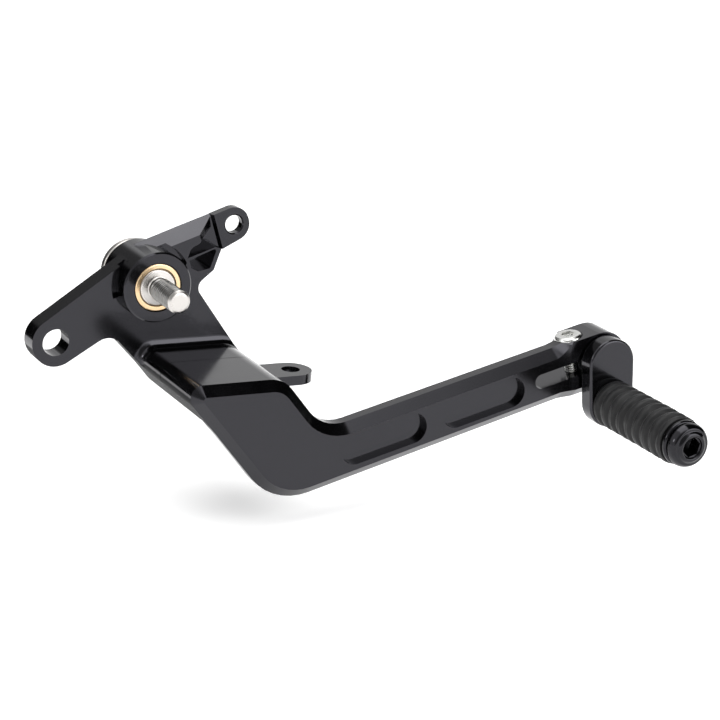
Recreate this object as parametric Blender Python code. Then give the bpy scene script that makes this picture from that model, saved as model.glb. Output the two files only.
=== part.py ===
"""Motorcycle gear shift lever: a hub bracket on a shoulder bolt, a cranked lever, and an adjustable toe peg.

Frame: the pivot axis is Y, and the bolt's thread and the toe peg point to -Y. X runs along the lever to
the toe peg and Z is up. The origin is on the pivot axis at the shoulder's front face. Units are metres.
"""

import math

import bmesh
import bpy
from mathutils import Matrix, Vector

MM = 0.001

# Gaps between neighbours.
GAP = 0.3 * MM
FIT = 0.2 * MM

# Pivot, along Y.
SHOULDER_RADIUS = 6.4 * MM
SHOULDER_BACK = 22.5 * MM
HEAD_RADIUS = 11.0 * MM
HEAD_BACK = 25.6 * MM
THREAD_RADIUS = 4.0 * MM
THREAD_TIP = -18.0 * MM
BUSH_OUTER = 8.3 * MM
BUSH_MIDDLE = 10.1 * MM
WASHER_OUTER = 10.7 * MM
HUB_RADIUS = 12.2 * MM
HUB_FRONT = 0.2 * MM
HUB_BACK = 20.0 * MM

# Bracket plate and its two arms.
PLATE_FRONT = 6.0 * MM
PLATE_BACK = 13.8 * MM
LEFT_EYE = (-34.8 * MM, -15.7 * MM)
LEFT_EYE_ANGLE = 208.0
LEFT_END_RADIUS = 8.2 * MM
LEFT_HOLE_RADIUS = 4.65 * MM
RIGHT_EYE = (32.9 * MM, 15.1 * MM)
RIGHT_EYE_ANGLE = 19.0
RIGHT_END_RADIUS = 5.65 * MM
RIGHT_HOLE_RADIUS = 3.15 * MM
RIGHT_COUNTERSINK = 3.6 * MM
GROOVE_SECTORS = ((14.1 * MM, 16.0, 76.0, 1.0), (14.4 * MM, 134.0, 194.0, 24.0))
GROOVE_DEPTH = 2.5 * MM

# Right arm, measured along and across it from the pivot.
RIGHT_ARM_ANGLE = 14.0
RIGHT_EYE_FRONT = 10.5 * MM
POCKET_FLOOR = 12.3 * MM
SLOPE_FRONT = 9.65 * MM
SLOPE_BACK = 12.6 * MM
SLOPE_END = 28.9 * MM
STEP_FOOT = 28.6 * MM
STEP_LEAN = 0.39
RIB_TOP = 3.4 * MM
FOOT_FILLET = 3.0 * MM

# Neck section, shared by the bracket's foot and the lever's block: points on its sides, and its angles.
NECK_ANGLE = -55.0
SECTION_ANGLE = -4.9
SECTION_TOP = (1.8 * MM, -23.05 * MM)
SECTION_LEFT = (-3.3 * MM, -30.7 * MM)
SECTION_RIGHT = (32.4 * MM, -30.5 * MM)
SECTION_HEIGHT = 15.0 * MM
SEAM = -11.0 * MM

# Lever.
LEVER_FRONT = -39.6 * MM
LEVER_BACK = -29.0 * MM
LEVER_CHAMFER = 3.3 * MM
ELBOW_RADIUS = 21.0 * MM
CROOK_RADIUS = 14.0 * MM
ARM_TOP = (89.8 * MM, -38.4 * MM)
ARM_TOP_ANGLE = 9.3
ARM_BOTTOM = (84.4 * MM, -59.5 * MM)
ARM_BOTTOM_ANGLE = 9.8
ARM_ANGLE = 9.2
RECESS_STARTS = (-105.2 * MM, -65.6 * MM)
RECESS_LENGTH = 33.2 * MM
RECESS_RADIUS = 5.55 * MM
RECESS_ACROSS = -0.35 * MM
RECESS_DEPTH = 2.5 * MM

# Linkage tab on the right of the lever's block.
TAB_DROP = 3.1 * MM
TAB_THICKNESS = 3.4 * MM
TAB_RADIUS = 7.3 * MM
TAB_CENTRE = (39.9 * MM, -18.8 * MM)
TAB_HOLE_RADIUS = 3.2 * MM

# Split clamp at the end of the arm, measured from its bore along and across the arm.
CLAMP_CENTRE = (152.2 * MM, -37.6 * MM)
CLAMP_BACK = -27.3 * MM
CLAMP_BORE = 5.9 * MM
CLAMP_END = 9.9 * MM
PAD_HEIGHT = 10.0 * MM
PAD_START = -9.8 * MM
RAMP_START = -18.2 * MM
BULGE_DEPTH = 11.3 * MM
BULGE_START = -18.2 * MM
BULGE_END = -12.2 * MM
SLOT_START = -27.9 * MM
SLOT_ACROSS = -0.25 * MM
SLOT_WIDTH = 5.3 * MM
CLAMP_BOLT_OFFSET = -9.2 * MM
CLAMP_BOLT_RADIUS = 2.5 * MM
CLAMP_BOLT_END = -9.6 * MM
SPOTFACE_HEIGHT = 7.2 * MM
SPOTFACE_RADIUS = 5.2 * MM

# Toe peg.
PEG_CENTRE = (152.6 * MM, -52.0 * MM)
HOLDER_BACK = -40.0 * MM
HOLDER_FRONT = -46.5 * MM
HOLDER_TOP_RADIUS = 9.2 * MM
HOLDER_LOW_RADIUS = 9.0 * MM
SHANK_RADIUS = 5.7 * MM
RUBBER_RADIUS = 8.75 * MM
RUBBER_FRONT = -88.0 * MM
RUBBER_BORE = 6.2 * MM
CORE_OUTER = 5.9 * MM
CORE_BORE = 4.3 * MM
PEG_WASHER_FRONT = -90.4 * MM
PEG_HEAD_FRONT = -95.6 * MM
PEG_HEAD_RADIUS = 7.8 * MM
PEG_BOLT_RADIUS = 4.0 * MM
PEG_SOCKET = 4.2 * MM
RIB_COUNT = 9

# Joint between bracket and lever: distance of each fastener along the section from its top left.
SCREW_PLACES = {"left": 4.0 * MM, "right": 25.0 * MM}
DOWEL_PLACES = {"left": 11.0 * MM, "right": 18.0 * MM}
FASTENER_DROP = 7.4 * MM
SCREW_RADIUS = 3.0 * MM
SCREW_HEAD_RADIUS = 5.0 * MM
SCREW_HEAD_HEIGHT = 6.0 * MM
SCREW_END = -25.0 * MM
COUNTERBORE_FLOOR = 5.2 * MM
FOOT_BACK = PLATE_BACK
DOWEL_RADIUS = 2.0 * MM
DOWEL_BACK = -4.0 * MM
DOWEL_FRONT = -18.0 * MM

ARC_STEP = math.radians(9.0)

MATERIALS = {
    "black_anodised": ((0.016, 0.016, 0.018), 0.24, 0.7),
    "stainless": ((0.62, 0.61, 0.59), 0.26, 1.0),
    "bronze": ((0.72, 0.47, 0.24), 0.3, 1.0),
    "black_steel": ((0.012, 0.012, 0.013), 0.18, 0.8),
    "zinc_steel": ((0.55, 0.55, 0.55), 0.34, 1.0),
    "rubber": ((0.02, 0.02, 0.021), 0.55, 0.0),
}


def clear_scene():
    for item in list(bpy.data.objects):
        bpy.data.objects.remove(item, do_unlink=True)


def make_material(name):
    colour, roughness, metallic = MATERIALS[name]
    material = bpy.data.materials.new(name)
    material.use_nodes = True
    shader = material.node_tree.nodes["Principled BSDF"]
    shader.inputs["Base Color"].default_value = (*colour, 1.0)
    shader.inputs["Roughness"].default_value = roughness
    shader.inputs["Metallic"].default_value = metallic
    return material


# ---------------------------------------------------------------- outlines in the XZ plane

def direction(angle):
    return Vector((math.cos(math.radians(angle)), math.sin(math.radians(angle))))


def meet(point_a, angle_a, point_b, angle_b):
    """The point where two lines cross, each given by a point and an angle."""
    a, b = Vector(point_a), Vector(point_b)
    u, v = direction(angle_a), direction(angle_b)
    cross = u.x * v.y - u.y * v.x
    along = ((b.x - a.x) * v.y - (b.y - a.y) * v.x) / cross
    return a + u * along


def moved_in(before, corner, after, inset_before, inset_after):
    """A corner of a counter-clockwise outline after the sides before and after it move inwards."""
    u = (corner - before).normalized()
    v = (after - corner).normalized()
    cross = u.x * v.y - u.y * v.x
    side = Vector((-u.y, u.x))
    if abs(cross) < 1e-4:
        return corner + side * max(inset_before, inset_after)
    moved = u * (inset_before * u.dot(v) - inset_after) / cross
    return corner + side * inset_before + moved


def rounded(corners, insets=0.0):
    """Outline points of corners (x, z, radius), given counter-clockwise.

    The insets move the sides inwards: one for all, or one per side, named after the corner it starts
    from. A corner may carry a fourth value, its place once moved inwards.
    """
    points = []
    count = len(corners)
    places = [Vector(corner[:2]) for corner in corners]
    if not isinstance(insets, (list, tuple)):
        insets = [insets] * count
    inner = []
    for i, corner in enumerate(corners):
        if len(corner) > 3 and max(insets) > 0.0:
            inner.append(Vector(corner[3]))
        else:
            inner.append(moved_in(places[i - 1], places[i], places[(i + 1) % count],
                                  insets[i - 1], insets[i]))
    for i, place in enumerate(inner):
        u = (place - inner[i - 1]).normalized()
        v = (inner[(i + 1) % count] - place).normalized()
        turn = math.atan2(u.x * v.y - u.y * v.x, u.dot(v))
        radius = corners[i][2]
        if radius == 0.0:
            points.append(place)
            continue
        side = 1.0 if turn > 0.0 else -1.0
        steps = max(2, round(abs(turn) / ARC_STEP))
        radius = radius - side * (insets[i - 1] + insets[i]) / 2.0
        start = place - u * radius * math.tan(abs(turn) / 2.0)
        centre = start + Vector((-u.y, u.x)) * side * radius
        arm = start - centre
        for k in range(steps + 1):
            angle = turn * k / steps
            c, s = math.cos(angle), math.sin(angle)
            points.append(centre + Vector((arm.x * c - arm.y * s, arm.x * s + arm.y * c)))
    return points


def arm_end(centre, angle, radius):
    """Two corners that close an arm with a round end, in counter-clockwise order."""
    u = direction(angle)
    n = Vector((-u.y, u.x))
    low = Vector(centre) + (u - n) * radius
    high = Vector(centre) + (u + n) * radius
    return [(low.x, low.y, radius), (high.x, high.y, radius)]


def neck_section():
    """Corners of the neck's section: top left, bottom left, bottom right, top right."""
    down = direction(SECTION_ANGLE - 90.0) * SECTION_HEIGHT
    bottom = Vector(SECTION_TOP) + down
    top_left = meet(SECTION_TOP, SECTION_ANGLE, SECTION_LEFT, NECK_ANGLE)
    low_left = meet(bottom, SECTION_ANGLE, SECTION_LEFT, NECK_ANGLE)
    low_right = meet(bottom, SECTION_ANGLE, SECTION_RIGHT, NECK_ANGLE)
    top_right = meet(SECTION_TOP, SECTION_ANGLE, SECTION_RIGHT, NECK_ANGLE)
    return [
        (*top_left, 4.3 * MM),
        (*low_left, 4.0 * MM),
        (*low_right, 4.0 * MM),
        (*top_right, 11.0 * MM),
    ]


def tangent_points(corners, index):
    """Where the arc at a corner leaves its two sides."""
    before, corner = Vector(corners[index - 1][:2]), Vector(corners[index][:2])
    after = Vector(corners[(index + 1) % len(corners)][:2])
    u, v = (corner - before).normalized(), (after - corner).normalized()
    turn = abs(math.atan2(u.x * v.y - u.y * v.x, u.dot(v)))
    reach = corners[index][2] * math.tan(turn / 2.0)
    return corner - u * reach, corner + v * reach


def in_arm(along, across):
    """A point measured from the clamp's bore, along and across the arm, in the XZ plane."""
    u = direction(ARM_ANGLE)
    return Vector(CLAMP_CENTRE) + u * along + Vector((-u.y, u.x)) * across


# ---------------------------------------------------------------- solids

def finish_mesh(name, bm, material, smooth=True):
    bmesh.ops.recalc_face_normals(bm, faces=bm.faces[:])
    mesh = bpy.data.meshes.new(name)
    bm.to_mesh(mesh)
    bm.free()
    if smooth:
        mesh.shade_smooth()
        mesh.set_sharp_from_angle(angle=math.radians(30.0))
    item = bpy.data.objects.new(name, mesh)
    bpy.context.scene.collection.objects.link(item)
    if material:
        mesh.materials.append(MATERIAL[material])
    return item


def ring_of(bm, points, depth):
    return [bm.verts.new((point[0], depth, point[1])) for point in points]


def bridge(bm, ring_a, ring_b, closed=True):
    count = len(ring_a)
    for i in range(count if closed else count - 1):
        j = (i + 1) % count
        bm.faces.new((ring_a[i], ring_a[j], ring_b[j], ring_b[i]))


def prism(name, corners, levels, material=None):
    """An outline carried through levels (depth, inset), closed at both ends."""
    bm = bmesh.new()
    rings = [ring_of(bm, rounded(corners, inset), depth) for depth, inset in levels]
    for ring_a, ring_b in zip(rings, rings[1:]):
        bridge(bm, ring_a, ring_b)
    bm.faces.new(rings[0])
    bm.faces.new(rings[-1])
    return finish_mesh(name, bm, material)


def turned(name, profile, material=None, segments=48, hollow=False, centre=(0.0, 0.0)):
    """A profile of (radius, depth) turned about Y: end to end, or a closed loop when hollow."""
    bm = bmesh.new()
    rings = []
    for radius, depth in profile:
        if radius == 0.0:
            rings.append([bm.verts.new((0.0, depth, 0.0))])
            continue
        angles = [2.0 * math.pi * k / segments for k in range(segments)]
        rings.append(ring_of(bm, [(radius * math.cos(a), radius * math.sin(a)) for a in angles], depth))
    pairs = list(zip(rings, rings[1:]))
    if hollow:
        pairs.append((rings[-1], rings[0]))
    for ring_a, ring_b in pairs:
        if len(ring_a) == 1 or len(ring_b) == 1:
            pole, ring = (ring_a[0], ring_b) if len(ring_a) == 1 else (ring_b[0], ring_a)
            for i in range(segments):
                bm.faces.new((pole, ring[i], ring[(i + 1) % segments]))
        else:
            bridge(bm, ring_a, ring_b)
    item = finish_mesh(name, bm, material)
    item.location = (centre[0], 0.0, centre[1])
    return item


def tube(name, inner, outer, back, front, material, edge=0.3 * MM, segments=48, centre=(0.0, 0.0)):
    """A ring about Y with its outer edges broken."""
    profile = [
        (inner, back),
        (outer - edge, back),
        (outer, back - edge),
        (outer, front + edge),
        (outer - edge, front),
        (inner, front),
    ]
    return turned(name, profile, material, segments, hollow=True, centre=centre)


def rod(name, radius, back, front, centre=(0.0, 0.0), segments=32):
    """A plain cutter about Y."""
    profile = [(0.0, back), (radius, back), (radius, front), (0.0, front)]
    return turned(name, profile, None, segments, centre=centre)


def hexagon(name, radius, back, front, centre=(0.0, 0.0)):
    """A hexagonal socket cutter about Y; radius is across its corners, halved."""
    return rod(name, radius, back, front, centre, segments=6)


def slab(name, corners, back, front, material=None):
    return prism(name, corners, [(back, 0.0), (front, 0.0)], material)


def combine(item, other, operation):
    """Join or cut with another object, which stays as a hidden guide."""
    modifier = item.modifiers.new(operation.title(), "BOOLEAN")
    modifier.operation = operation
    modifier.object = other
    modifier.solver = "EXACT"
    other.hide_render = True
    other.display_type = "WIRE"


def across_arm(item, along, depth):
    """Stand an item turned about Y on the arm, with -Y pointing away from the arm's top."""
    u = direction(ARM_ANGLE)
    outwards = Vector((-u.y, 0.0, u.x))
    sideways = Vector((u.x, 0.0, u.y))
    turn = Matrix((sideways, -outwards, sideways.cross(-outwards))).transposed()
    place = in_arm(along, 0.0)
    item.matrix_world = Matrix.Translation((place.x, depth, place.y)) @ turn.to_4x4()


# ---------------------------------------------------------------- pivot

def build_pivot():
    edge = 0.5 * MM
    turned("pivot_bolt", [
        (0.0, HEAD_BACK),
        (HEAD_RADIUS - edge, HEAD_BACK),
        (HEAD_RADIUS, HEAD_BACK - edge),
        (HEAD_RADIUS, SHOULDER_BACK + edge),
        (HEAD_RADIUS - edge, SHOULDER_BACK),
        (SHOULDER_RADIUS, SHOULDER_BACK),
        (SHOULDER_RADIUS, edge),
        (SHOULDER_RADIUS - edge, 0.0),
        (THREAD_RADIUS, 0.0),
        (THREAD_RADIUS, THREAD_TIP + edge),
        (THREAD_RADIUS - edge, THREAD_TIP),
        (0.0, THREAD_TIP),
    ], "stainless", segments=64)
    combine(bpy.data.objects["pivot_bolt"],
            hexagon("head_socket_cut", 4.6 * MM, HEAD_BACK + MM, HEAD_BACK - 5.0 * MM), "DIFFERENCE")
    bore = SHOULDER_RADIUS + FIT
    tube("pivot_bush_front", bore, BUSH_OUTER, BUSH_MIDDLE - FIT, HUB_FRONT, "bronze", segments=64)
    tube("pivot_bush_rear", bore, BUSH_OUTER, HUB_BACK, BUSH_MIDDLE + FIT, "bronze", segments=64)
    tube("thrust_washer", bore, WASHER_OUTER, SHOULDER_BACK - GAP, HUB_BACK + GAP, "bronze", segments=64)


# ---------------------------------------------------------------- bracket

def bracket_outline(section):
    left_low, left_high = arm_end(LEFT_EYE, LEFT_EYE_ANGLE, LEFT_END_RADIUS)
    right_low, right_high = arm_end(RIGHT_EYE, RIGHT_EYE_ANGLE, RIGHT_END_RADIUS)
    armpit = meet(left_high[:2], 26.2, SECTION_LEFT, NECK_ANGLE + 3.0)
    top_left_arc = tangent_points(section, 0)[1]
    top_right_arc = tangent_points(section, 3)[0]
    return [
        left_low,
        left_high,
        (*armpit, 6.0 * MM),
        (*top_left_arc, 0.0),
        section[1],
        section[2],
        (*top_right_arc, 0.0),
        (15.9 * MM, -3.4 * MM, 3.5 * MM),
        (22.9 * MM, 1.4 * MM, 2.5 * MM),
        (27.4 * MM, 6.5 * MM, 1.0 * MM),
        right_low,
        right_high,
        (-2.4 * MM, 12.25 * MM, 1.5 * MM),
        (-7.2 * MM, 9.73 * MM, 0.0),
    ]


def on_right_arm(along, across, roundness=0.0):
    """A corner placed along and across the right arm."""
    u = direction(RIGHT_ARM_ANGLE)
    corner = u * along + Vector((-u.y, u.x)) * across
    return (corner.x, corner.y, roundness)


def upper_pocket():
    """The open pocket between the arm's thick root and its eye: a level floor between leaning ends."""
    ahead = PLATE_FRONT - 2.0 * MM
    lean = STEP_LEAN * (POCKET_FLOOR - PLATE_FRONT)
    lean_ahead = STEP_LEAN * (POCKET_FLOOR - ahead)
    top = 13.2 * MM
    shared = [(20.3 * MM, 6.7 * MM), (17.7 * MM, 6.4 * MM), (16.5 * MM, 5.8 * MM)]
    low = -1.5 * MM
    rib = [(14.7 * MM, RIB_TOP), (25.4 * MM, RIB_TOP), (27.3 * MM, 2.0 * MM), (26.0 * MM, low)]
    floor = [*rib, (STEP_FOOT, low), (STEP_FOOT + 0.1 * MM, top), (STEP_FOOT, top),
             (27.8 * MM, 8.4 * MM), (23.4 * MM, 5.2 * MM), *shared]
    mouth = [*rib, (STEP_FOOT + lean, low), (STEP_FOOT + lean, top), (21.8 * MM, top),
             (21.0 * MM, SLOPE_FRONT), (21.0 * MM, 7.4 * MM), *shared]
    outside = list(mouth)
    outside[len(rib)] = (STEP_FOOT + lean_ahead, low)
    outside[len(rib) + 1] = (STEP_FOOT + lean_ahead, top)
    bm = bmesh.new()
    rings = [
        ring_of(bm, [on_right_arm(*corner) for corner in level], depth)
        for level, depth in ((floor, POCKET_FLOOR), (mouth, PLATE_FRONT), (outside, ahead))
    ]
    bridge(bm, rings[0], rings[1])
    bridge(bm, rings[1], rings[2])
    bm.faces.new(rings[0])
    bm.faces.new(rings[2])
    bmesh.ops.triangulate(bm, faces=bm.faces[:])
    return finish_mesh("upper_pocket_cut", bm, None)


def arm_slope():
    """Leans the top of the right arm's root forwards, from the plate's back edge to its front face."""
    rate = (SLOPE_BACK - SLOPE_FRONT) / (PLATE_BACK - PLATE_FRONT)
    behind = PLATE_BACK + 0.4 * MM
    ahead = PLATE_FRONT - 2.0 * MM
    section = [
        (SLOPE_BACK + rate * 0.4 * MM, behind),
        (SLOPE_FRONT - rate * 2.0 * MM, ahead),
        (20.0 * MM, ahead),
        (20.0 * MM, behind),
    ]
    bm = bmesh.new()
    rings = []
    for along in (-3.0 * MM, SLOPE_END):
        ring = []
        for across, depth in section:
            place = on_right_arm(along, across)
            ring.append(bm.verts.new((place[0], depth, place[1])))
        rings.append(ring)
    bridge(bm, rings[0], rings[1])
    bm.faces.new(rings[0])
    bm.faces.new(rings[1])
    return finish_mesh("arm_slope_cut", bm, None)


def bracket_body(outline, section):
    """The plate and the foot as one skin; the foot shares the plate's left, bottom and right sides."""
    bm = bmesh.new()
    plate = rounded(outline)
    foot = rounded(section)
    leave = tangent_points(section, 0)[1]
    join = tangent_points(section, 3)[0]
    foot_leave = min(range(len(foot)), key=lambda i: (foot[i] - leave).length)
    foot_join = min(range(len(foot)), key=lambda i: (foot[i] - join).length)
    plate_leave = min(range(len(plate)), key=lambda i: (plate[i] - leave).length)
    plate_join = min(range(len(plate)), key=lambda i: (plate[i] - join).length)
    shared = plate[plate_leave:plate_join + 1]
    top_path = foot[foot_join + 1:] + foot[:foot_leave]
    back = ring_of(bm, plate, PLATE_BACK)
    front = ring_of(bm, plate, PLATE_FRONT)
    bridge(bm, back, front)
    bm.faces.new(back)
    shared_front = front[plate_leave:plate_join + 1]
    top_front = ring_of(bm, top_path, PLATE_FRONT)
    bm.faces.new(front[plate_join:] + front[:plate_leave + 1] + top_front[::-1])
    foot_end = SEAM + GAP / 2.0
    tip = ring_of(bm, shared + top_path, foot_end)
    bridge(bm, shared_front + top_front, tip)
    bm.faces.new(tip)
    return finish_mesh("pivot_bracket", bm, "black_anodised")


def foot_fillet(section, outline):
    """The hollow fillet where the foot grows out of the plate, kept just inside the plate's outline."""
    steps = 8
    levels = [(PLATE_FRONT + MM, -FOOT_FILLET)]
    for k in range(steps + 1):
        turn = math.radians(90.0) * k / steps
        rise = FOOT_FILLET * (1.0 - math.cos(turn))
        levels.append((PLATE_FRONT - rise, -FOOT_FILLET * (1.0 - math.sin(turn)) - 0.02 * MM))
    levels.append((PLATE_FRONT - FOOT_FILLET - 0.5 * MM, 0.4 * MM))
    fillet = prism("foot_fillet_guide", section, levels)
    limit = prism("foot_fillet_limit", outline, [
        (PLATE_FRONT + 3.0 * MM, 0.12 * MM),
        (PLATE_FRONT - FOOT_FILLET - 2.0 * MM, 0.12 * MM),
    ])
    combine(fillet, limit, "INTERSECT")
    return fillet


def groove_outline(radius, first, last, widening):
    """A sector of a ring round the boss, widening over its first degrees from the boss to its radius."""
    steps = math.ceil((last - first) / 6.0)
    inner = HUB_RADIUS - 1.2 * MM
    start = HUB_RADIUS + 0.2 * MM
    outer_side = []
    inner_side = []
    for k in range(steps + 1):
        angle = first + (last - first) * k / steps
        outer = start + (radius - start) * min(1.0, (angle - first + 0.1) / widening)
        turn = math.radians(angle)
        outer_side.append((outer * math.cos(turn), outer * math.sin(turn), 0.0))
        inner_side.append((inner * math.cos(turn), inner * math.sin(turn), 0.0))
    return outer_side + inner_side[::-1]


def build_bracket():
    section = neck_section()
    outline = bracket_outline(section)
    bracket = bracket_body(outline, section)
    ahead = PLATE_FRONT - 2.0 * MM
    lower = [
        (14.6 * MM, 3.2 * MM, 0.8 * MM),
        (17.2 * MM, 1.7 * MM, 1.0 * MM),
        (21.6 * MM, 2.2 * MM, 1.0 * MM),
        (24.5 * MM, 9.1 * MM, 0.7 * MM),
        (14.0 * MM, 6.1 * MM, 0.5 * MM),
    ]
    eye_step = STEP_FOOT + STEP_LEAN * (POCKET_FLOOR - RIGHT_EYE_FRONT)
    eye_front = [
        on_right_arm(27.3 * MM, 2.0 * MM),
        (22.9 * MM, 1.4 * MM, 0.0),
        (24.5 * MM, -3.0 * MM, 0.0),
        (48.0 * MM, -3.0 * MM, 0.0),
        (48.0 * MM, 30.0 * MM, 0.0),
        on_right_arm(eye_step, 20.0 * MM),
        on_right_arm(eye_step, 2.0 * MM),
    ]
    for number, sector in enumerate(GROOVE_SECTORS, start=1):
        groove = slab(f"groove_{number}_cut", groove_outline(*sector), PLATE_FRONT + GROOVE_DEPTH, ahead)
        combine(bracket, groove, "DIFFERENCE")
    combine(bracket, arm_slope(), "DIFFERENCE")
    combine(bracket, upper_pocket(), "DIFFERENCE")
    combine(bracket, slab("lower_pocket_cut", lower, POCKET_FLOOR, ahead), "DIFFERENCE")
    combine(bracket, slab("right_eye_front_cut", eye_front, RIGHT_EYE_FRONT, ahead), "DIFFERENCE")
    combine(bracket, foot_fillet(section, outline), "UNION")
    edge = 0.5 * MM
    hub = turned("hub_guide", [
        (0.0, HUB_BACK),
        (HUB_RADIUS - edge, HUB_BACK),
        (HUB_RADIUS, HUB_BACK - edge),
        (HUB_RADIUS, HUB_FRONT + edge),
        (HUB_RADIUS - edge, HUB_FRONT),
        (0.0, HUB_FRONT),
    ], segments=64)
    combine(bracket, hub, "UNION")
    behind, before = HUB_BACK + MM, HUB_FRONT - MM
    combine(bracket, rod("hub_bore_cut", BUSH_OUTER + FIT, behind, before, segments=64), "DIFFERENCE")
    combine(bracket, rod("left_eye_cut", LEFT_HOLE_RADIUS, behind, before, LEFT_EYE, 40), "DIFFERENCE")
    combine(bracket, turned("right_eye_cut", [
        (0.0, behind),
        (RIGHT_HOLE_RADIUS, behind),
        (RIGHT_HOLE_RADIUS, RIGHT_EYE_FRONT + 0.45 * MM),
        (RIGHT_COUNTERSINK + 0.45 * MM, RIGHT_EYE_FRONT - 0.45 * MM),
        (0.0, RIGHT_EYE_FRONT - 0.45 * MM),
    ], segments=36, centre=RIGHT_EYE), "DIFFERENCE")
    for side, along in SCREW_PLACES.items():
        place = fastener_place(along)
        combine(bracket, turned(f"screw_{side}_hole_cut", [
            (0.0, FOOT_BACK + MM),
            (SCREW_HEAD_RADIUS + FIT, FOOT_BACK + MM),
            (SCREW_HEAD_RADIUS + FIT, COUNTERBORE_FLOOR),
            (SCREW_RADIUS + FIT, COUNTERBORE_FLOOR),
            (SCREW_RADIUS + FIT, SEAM - MM),
            (0.0, SEAM - MM),
        ], segments=32, centre=place), "DIFFERENCE")
    for side, along in DOWEL_PLACES.items():
        hole = rod(f"dowel_{side}_hole_cut", DOWEL_RADIUS + FIT, DOWEL_BACK + GAP, SEAM - MM,
                   fastener_place(along), 24)
        combine(bracket, hole, "DIFFERENCE")


# ---------------------------------------------------------------- lever

def fastener_place(along):
    """A fastener's place in the joint, measured along and down from the section's top left."""
    u = direction(SECTION_ANGLE)
    return Vector(SECTION_TOP) + u * along + direction(SECTION_ANGLE - 90.0) * FASTENER_DROP


def lever_outline(section):
    """The lever's corners, and for each side whether its front and its back edge are chamfered."""
    low_left = tangent_points(section, 1)[0]
    low_right = tangent_points(section, 2)[1]
    along_neck = direction(NECK_ANGLE) * LEVER_CHAMFER
    elbow = meet(SECTION_LEFT, NECK_ANGLE, ARM_BOTTOM, ARM_BOTTOM_ANGLE)
    crook = meet(SECTION_RIGHT, NECK_ANGLE, ARM_TOP, ARM_TOP_ANGLE)
    bulge_start = meet(in_arm(BULGE_START, 0.0), ARM_ANGLE + 90.0, ARM_BOTTOM, ARM_BOTTOM_ANGLE)
    ramp_start = meet(in_arm(RAMP_START, 0.0), ARM_ANGLE + 90.0, ARM_TOP, ARM_TOP_ANGLE)
    ramp_foot = meet(in_arm(RAMP_START + 0.3 * MM, 0.0), ARM_ANGLE + 90.0,
                     ramp_start + direction(ARM_TOP_ANGLE - 90.0) * LEVER_CHAMFER, ARM_TOP_ANGLE)
    ramp = [
        (*in_arm(PAD_START, PAD_HEIGHT), 0.0, in_arm(PAD_START, PAD_HEIGHT)),
        (*in_arm(-11.6 * MM, PAD_HEIGHT), 0.0, in_arm(-11.4 * MM, 9.3 * MM)),
        (*in_arm(-13.8 * MM, 9.8 * MM), 0.0, in_arm(-13.3 * MM, 8.1 * MM)),
        (*in_arm(-16.0 * MM, 9.5 * MM), 0.0, in_arm(-15.5 * MM, 6.8 * MM)),
        (*ramp_start, 0.0, ramp_foot),
    ]
    corners = [
        section[0],
        (*low_left, 0.0),
        (*(low_left + along_neck), 0.0),
        (*elbow, ELBOW_RADIUS),
        (*bulge_start, 6.0 * MM),
        (*in_arm(BULGE_END, -BULGE_DEPTH), 6.0 * MM),
        (*in_arm(CLAMP_END, -BULGE_DEPTH), 9.8 * MM),
        (*in_arm(CLAMP_END, PAD_HEIGHT), 9.8 * MM),
        *ramp,
        (*crook, CROOK_RADIUS),
        (*(low_right + along_neck), 0.0),
        (*low_right, 0.0),
        section[3],
    ]
    last = len(corners) - 1
    square = {6, 7}
    block = {0, 1, last - 2, last - 1, last}
    front = [0.0 if i in square else LEVER_CHAMFER for i in range(last + 1)]
    back = [0.0 if i in square or i in block else LEVER_CHAMFER for i in range(last + 1)]
    return corners, front, back


def nearest(points, place):
    return min(range(len(points)), key=lambda i: (points[i] - Vector(place)).length)


def lever_body(section):
    """The lever's plate, the block behind its top and the clamp's deeper end, as one skin."""
    bm = bmesh.new()
    corners, front_insets, back_insets = lever_outline(section)
    outline = rounded(corners)
    back_points = rounded(corners, back_insets)
    block = rounded(section)
    leave, join = tangent_points(section, 1)[0], tangent_points(section, 2)[1]
    outline_leave, outline_join = nearest(outline, leave), nearest(outline, join)
    low_path = block[nearest(block, leave) + 1:nearest(block, join)]
    clamp_leave = nearest(outline, tangent_points(corners, 5)[1])
    clamp_join = nearest(outline, in_arm(PAD_START, PAD_HEIGHT))
    face = ring_of(bm, rounded(corners, front_insets), LEVER_FRONT)
    front = ring_of(bm, outline, LEVER_FRONT + LEVER_CHAMFER)
    rear = ring_of(bm, outline, LEVER_BACK - LEVER_CHAMFER)
    back = ring_of(bm, back_points, LEVER_BACK)
    bm.faces.new(face)
    bridge(bm, face, front)
    bridge(bm, front, rear)
    bridge(bm, rear, back)
    low_back = ring_of(bm, low_path, LEVER_BACK)
    plate_back = back[outline_leave:clamp_leave + 1] + back[clamp_join:outline_join + 1]
    bm.faces.new(plate_back + low_back[::-1])
    block_ring = back[outline_join:] + back[:outline_leave + 1] + low_back
    block_points = back_points[outline_join:] + back_points[:outline_leave + 1] + low_path
    seam = ring_of(bm, block_points, SEAM - GAP / 2.0)
    bridge(bm, block_ring, seam)
    bm.faces.new(seam)
    clamp_ring = back[clamp_leave:clamp_join + 1]
    clamp_end = ring_of(bm, back_points[clamp_leave:clamp_join + 1], CLAMP_BACK)
    bridge(bm, clamp_ring, clamp_end)
    bm.faces.new(clamp_end)
    return finish_mesh("lever_arm", bm, "black_anodised")


def obround(name, start, length, middle, radius, back, front):
    """A slot cutter along the arm; start and length are measured along the arm, middle across it."""
    corners = []
    for along, across in ((0, -1), (1, -1), (1, 1), (0, 1)):
        corners.append((*in_arm(start + along * length, middle + across * radius), radius * 0.999))
    return slab(name, corners, back, front)


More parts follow.
